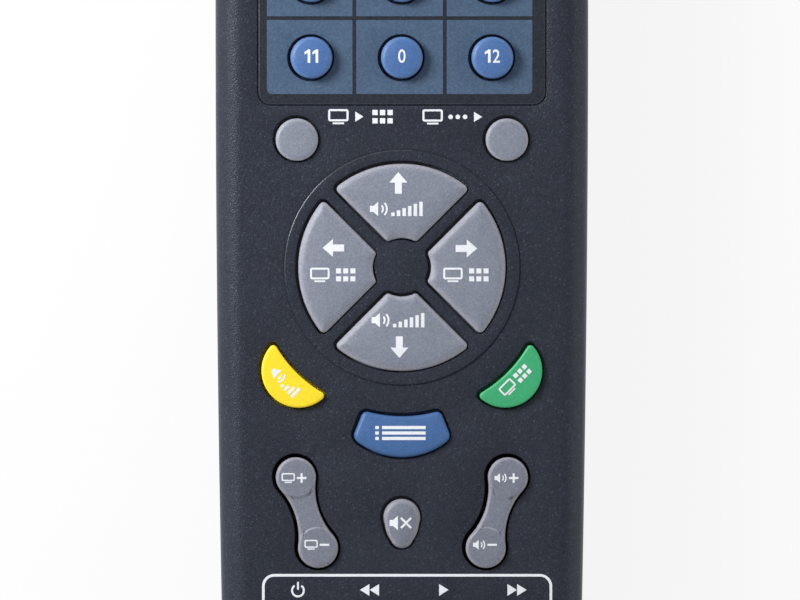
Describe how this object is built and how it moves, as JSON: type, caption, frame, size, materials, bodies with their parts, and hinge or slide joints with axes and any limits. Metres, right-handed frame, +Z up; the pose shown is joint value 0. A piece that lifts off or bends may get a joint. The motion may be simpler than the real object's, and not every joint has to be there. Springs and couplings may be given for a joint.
{
  "type": "universal remote control",
  "caption": "Hand-held infrared remote control with a printed number pad, a ring of arrow keys, crescent keys, tilting rockers and a sliding battery door.",
  "frame": {"origin": "middle of the back, on the surface the handset lies on", "axes": "+X to the right of someone reading the keys, +Y along the case towards the infrared window, +Z up out of the keys"},
  "size_m": [0.052, 0.168, 0.0238],
  "materials": {
    "case": "fine spark-eroded grain, dark grey-black",
    "panel": "printed sheet, steel-blue cells in a dark border",
    "key_grey": "satin silicone rubber, grey",
    "key_blue": "satin silicone rubber, blue",
    "menu_blue": "satin silicone rubber, darker blue",
    "key_yellow": "satin silicone rubber, yellow",
    "key_green": "satin silicone rubber, green",
    "key_red": "satin silicone rubber, red",
    "window": "glossy infrared-passing plastic, near black",
    "mat": "dull silicone rubber",
    "board": "green solder mask",
    "chip": "moulded black",
    "resonator": "dipped coating, amber",
    "capacitor": "sleeved can, dark blue",
    "ir_lens": "clear blue-grey epoxy",
    "led_red": "tinted epoxy",
    "battery": "plain printed sleeve on a steel can",
    "contact": "nickel-plated spring steel",
    "screw": "zinc-plated"
  },
  "bodies": {
    "case": {"upper_case": "case", "lower_case": "case", "ir_window": "window", "number_panel": "panel", "keypad_mat": "mat", "circuit_board": "board", "control_chip": "chip", "resonator": "resonator", "capacitor": "capacitor", "chip_components": "chip", "ir_led": "ir_lens", "indicator_led": "led_red", "battery_left": "battery", "battery_right": "battery", "contact_springs": "contact", "contact_plates": "contact", "case_screws": "screw"},
    "door": {"battery_door": "case"},
    "number_key_1": {"number_key_1": "key_blue"},
    "number_key_2": {"number_key_2": "key_blue"},
    "number_key_3": {"number_key_3": "key_blue"},
    "number_key_4": {"number_key_4": "key_blue"},
    "number_key_5": {"number_key_5": "key_blue"},
    "number_key_6": {"number_key_6": "key_blue"},
    "number_key_7": {"number_key_7": "key_blue"},
    "number_key_8": {"number_key_8": "key_blue"},
    "number_key_9": {"number_key_9": "key_blue"},
    "number_key_10": {"number_key_10": "key_blue"},
    "number_key_11": {"number_key_11": "key_blue"},
    "number_key_12": {"number_key_12": "key_blue"},
    "device_key_1": {"device_key_1": "key_grey"},
    "device_key_2": {"device_key_2": "key_grey"},
    "device_key_3": {"device_key_3": "key_grey"},
    "device_key_4": {"device_key_4": "key_grey"},
    "device_key_5": {"device_key_5": "key_grey"},
    "device_key_6": {"device_key_6": "key_grey"},
    "tape_power_key": {"tape_power_key": "key_grey"},
    "rewind_key": {"rewind_key": "key_grey"},
    "play_key": {"play_key": "key_grey"},
    "forward_key": {"forward_key": "key_grey"},
    "record_key": {"record_key": "key_grey"},
    "stop_key": {"stop_key": "key_grey"},
    "pause_key": {"pause_key": "key_grey"},
    "eject_key": {"eject_key": "key_grey"},
    "nav_right_key": {"nav_right_key": "key_grey"},
    "nav_up_key": {"nav_up_key": "key_grey"},
    "nav_left_key": {"nav_left_key": "key_grey"},
    "nav_down_key": {"nav_down_key": "key_grey"},
    "set_key": {"set_key": "key_grey"},
    "input_key_left": {"input_key_left": "key_grey"},
    "input_key_right": {"input_key_right": "key_grey"},
    "mute_key": {"mute_key": "key_grey"},
    "main_power_key": {"main_power_key": "key_red"},
    "yellow_key": {"yellow_key": "key_yellow"},
    "green_key": {"green_key": "key_green"},
    "menu_key": {"menu_key": "menu_blue"},
    "channel_rocker": {"channel_rocker": "key_grey"},
    "volume_rocker": {"volume_rocker": "key_grey"}
  },
  "joints": [
    {"name": "door_slide", "type": "slide", "parent": "case", "child": "door", "axis": [0, -1, 0], "range_m": [0, 0.066]},
    {"name": "number_key_1_press", "type": "slide", "parent": "case", "child": "number_key_1", "axis": [0, 0, -1], "range_m": [0, 0.0009], "stiffness_N_per_m": 600},
    {"name": "number_key_2_press", "type": "slide", "parent": "case", "child": "number_key_2", "axis": [0, 0, -1], "range_m": [0, 0.0009], "stiffness_N_per_m": 600},
    {"name": "number_key_3_press", "type": "slide", "parent": "case", "child": "number_key_3", "axis": [0, 0, -1], "range_m": [0, 0.0009], "stiffness_N_per_m": 600},
    {"name": "number_key_4_press", "type": "slide", "parent": "case", "child": "number_key_4", "axis": [0, 0, -1], "range_m": [0, 0.0009], "stiffness_N_per_m": 600},
    {"name": "number_key_5_press", "type": "slide", "parent": "case", "child": "number_key_5", "axis": [0, 0, -1], "range_m": [0, 0.0009], "stiffness_N_per_m": 600},
    {"name": "number_key_6_press", "type": "slide", "parent": "case", "child": "number_key_6", "axis": [0, 0, -1], "range_m": [0, 0.0009], "stiffness_N_per_m": 600},
    {"name": "number_key_7_press", "type": "slide", "parent": "case", "child": "number_key_7", "axis": [0, 0, -1], "range_m": [0, 0.0009], "stiffness_N_per_m": 600},
    {"name": "number_key_8_press", "type": "slide", "parent": "case", "child": "number_key_8", "axis": [0, 0, -1], "range_m": [0, 0.0009], "stiffness_N_per_m": 600},
    {"name": "number_key_9_press", "type": "slide", "parent": "case", "child": "number_key_9", "axis": [0, 0, -1], "range_m": [0, 0.0009], "stiffness_N_per_m": 600},
    {"name": "number_key_10_press", "type": "slide", "parent": "case", "child": "number_key_10", "axis": [0, 0, -1], "range_m": [0, 0.0009], "stiffness_N_per_m": 600},
    {"name": "number_key_11_press", "type": "slide", "parent": "case", "child": "number_key_11", "axis": [0, 0, -1], "range_m": [0, 0.0009], "stiffness_N_per_m": 600},
    {"name": "number_key_12_press", "type": "slide", "parent": "case", "child": "number_key_12", "axis": [0, 0, -1], "range_m": [0, 0.0009], "stiffness_N_per_m": 600},
    {"name": "device_key_1_press", "type": "slide", "parent": "case", "child": "device_key_1", "axis": [0, 0, -1], "range_m": [0, 0.0009], "stiffness_N_per_m": 600},
    {"name": "device_key_2_press", "type": "slide", "parent": "case", "child": "device_key_2", "axis": [0, 0, -1], "range_m": [0, 0.0009], "stiffness_N_per_m": 600},
    {"name": "device_key_3_press", "type": "slide", "parent": "case", "child": "device_key_3", "axis": [0, 0, -1], "range_m": [0, 0.0009], "stiffness_N_per_m": 600},
    {"name": "device_key_4_press", "type": "slide", "parent": "case", "child": "device_key_4", "axis": [0, 0, -1], "range_m": [0, 0.0009], "stiffness_N_per_m": 600},
    {"name": "device_key_5_press", "type": "slide", "parent": "case", "child": "device_key_5", "axis": [0, 0, -1], "range_m": [0, 0.0009], "stiffness_N_per_m": 600},
    {"name": "device_key_6_press", "type": "slide", "parent": "case", "child": "device_key_6", "axis": [0, 0, -1], "range_m": [0, 0.0009], "stiffness_N_per_m": 600},
    {"name": "tape_power_key_press", "type": "slide", "parent": "case", "child": "tape_power_key", "axis": [0, 0, -1], "range_m": [0, 0.0009], "stiffness_N_per_m": 600},
    {"name": "rewind_key_press", "type": "slide", "parent": "case", "child": "rewind_key", "axis": [0, 0, -1], "range_m": [0, 0.0009], "stiffness_N_per_m": 600},
    {"name": "play_key_press", "type": "slide", "parent": "case", "child": "play_key", "axis": [0, 0, -1], "range_m": [0, 0.0009], "stiffness_N_per_m": 600},
    {"name": "forward_key_press", "type": "slide", "parent": "case", "child": "forward_key", "axis": [0, 0, -1], "range_m": [0, 0.0009], "stiffness_N_per_m": 600},
    {"name": "record_key_press", "type": "slide", "parent": "case", "child": "record_key", "axis": [0, 0, -1], "range_m": [0, 0.0009], "stiffness_N_per_m": 600},
    {"name": "stop_key_press", "type": "slide", "parent": "case", "child": "stop_key", "axis": [0, 0, -1], "range_m": [0, 0.0009], "stiffness_N_per_m": 600},
    {"name": "pause_key_press", "type": "slide", "parent": "case", "child": "pause_key", "axis": [0, 0, -1], "range_m": [0, 0.0009], "stiffness_N_per_m": 600},
    {"name": "eject_key_press", "type": "slide", "parent": "case", "child": "eject_key", "axis": [0, 0, -1], "range_m": [0, 0.0009], "stiffness_N_per_m": 600},
    {"name": "nav_right_key_press", "type": "slide", "parent": "case", "child": "nav_right_key", "axis": [0, 0, -1], "range_m": [0, 0.0009], "stiffness_N_per_m": 600},
    {"name": "nav_up_key_press", "type": "slide", "parent": "case", "child": "nav_up_key", "axis": [0, 0, -1], "range_m": [0, 0.0009], "stiffness_N_per_m": 600},
    {"name": "nav_left_key_press", "type": "slide", "parent": "case", "child": "nav_left_key", "axis": [0, 0, -1], "range_m": [0, 0.0009], "stiffness_N_per_m": 600},
    {"name": "nav_down_key_press", "type": "slide", "parent": "case", "child": "nav_down_key", "axis": [0, 0, -1], "range_m": [0, 0.0009], "stiffness_N_per_m": 600},
    {"name": "set_key_press", "type": "slide", "parent": "case", "child": "set_key", "axis": [0, 0, -1], "range_m": [0, 0.0009], "stiffness_N_per_m": 600},
    {"name": "input_key_left_press", "type": "slide", "parent": "case", "child": "input_key_left", "axis": [0, 0, -1], "range_m": [0, 0.0009], "stiffness_N_per_m": 600},
    {"name": "input_key_right_press", "type": "slide", "parent": "case", "child": "input_key_right", "axis": [0, 0, -1], "range_m": [0, 0.0009], "stiffness_N_per_m": 600},
    {"name": "mute_key_press", "type": "slide", "parent": "case", "child": "mute_key", "axis": [0, 0, -1], "range_m": [0, 0.0009], "stiffness_N_per_m": 600},
    {"name": "main_power_key_press", "type": "slide", "parent": "case", "child": "main_power_key", "axis": [0, 0, -1], "range_m": [0, 0.0009], "stiffness_N_per_m": 600},
    {"name": "yellow_key_press", "type": "slide", "parent": "case", "child": "yellow_key", "axis": [0, 0, -1], "range_m": [0, 0.0009], "stiffness_N_per_m": 600},
    {"name": "green_key_press", "type": "slide", "parent": "case", "child": "green_key", "axis": [0, 0, -1], "range_m": [0, 0.0009], "stiffness_N_per_m": 600},
    {"name": "menu_key_press", "type": "slide", "parent": "case", "child": "menu_key", "axis": [0, 0, -1], "range_m": [0, 0.0009], "stiffness_N_per_m": 600},
    {"name": "channel_rocker_tilt", "type": "hinge", "parent": "case", "child": "channel_rocker", "pos_m": [-0.0132, -0.04875, 0.0192], "axis": [0.9542, 0.299, 0], "range_deg": [-5, 5], "stiffness_Nm_per_rad": 0.06},
    {"name": "volume_rocker_tilt", "type": "hinge", "parent": "case", "child": "volume_rocker", "pos_m": [0.0132, -0.04875, 0.0192], "axis": [0.9542, -0.299, 0], "range_deg": [-5, 5], "stiffness_Nm_per_rad": 0.06}
  ]
}
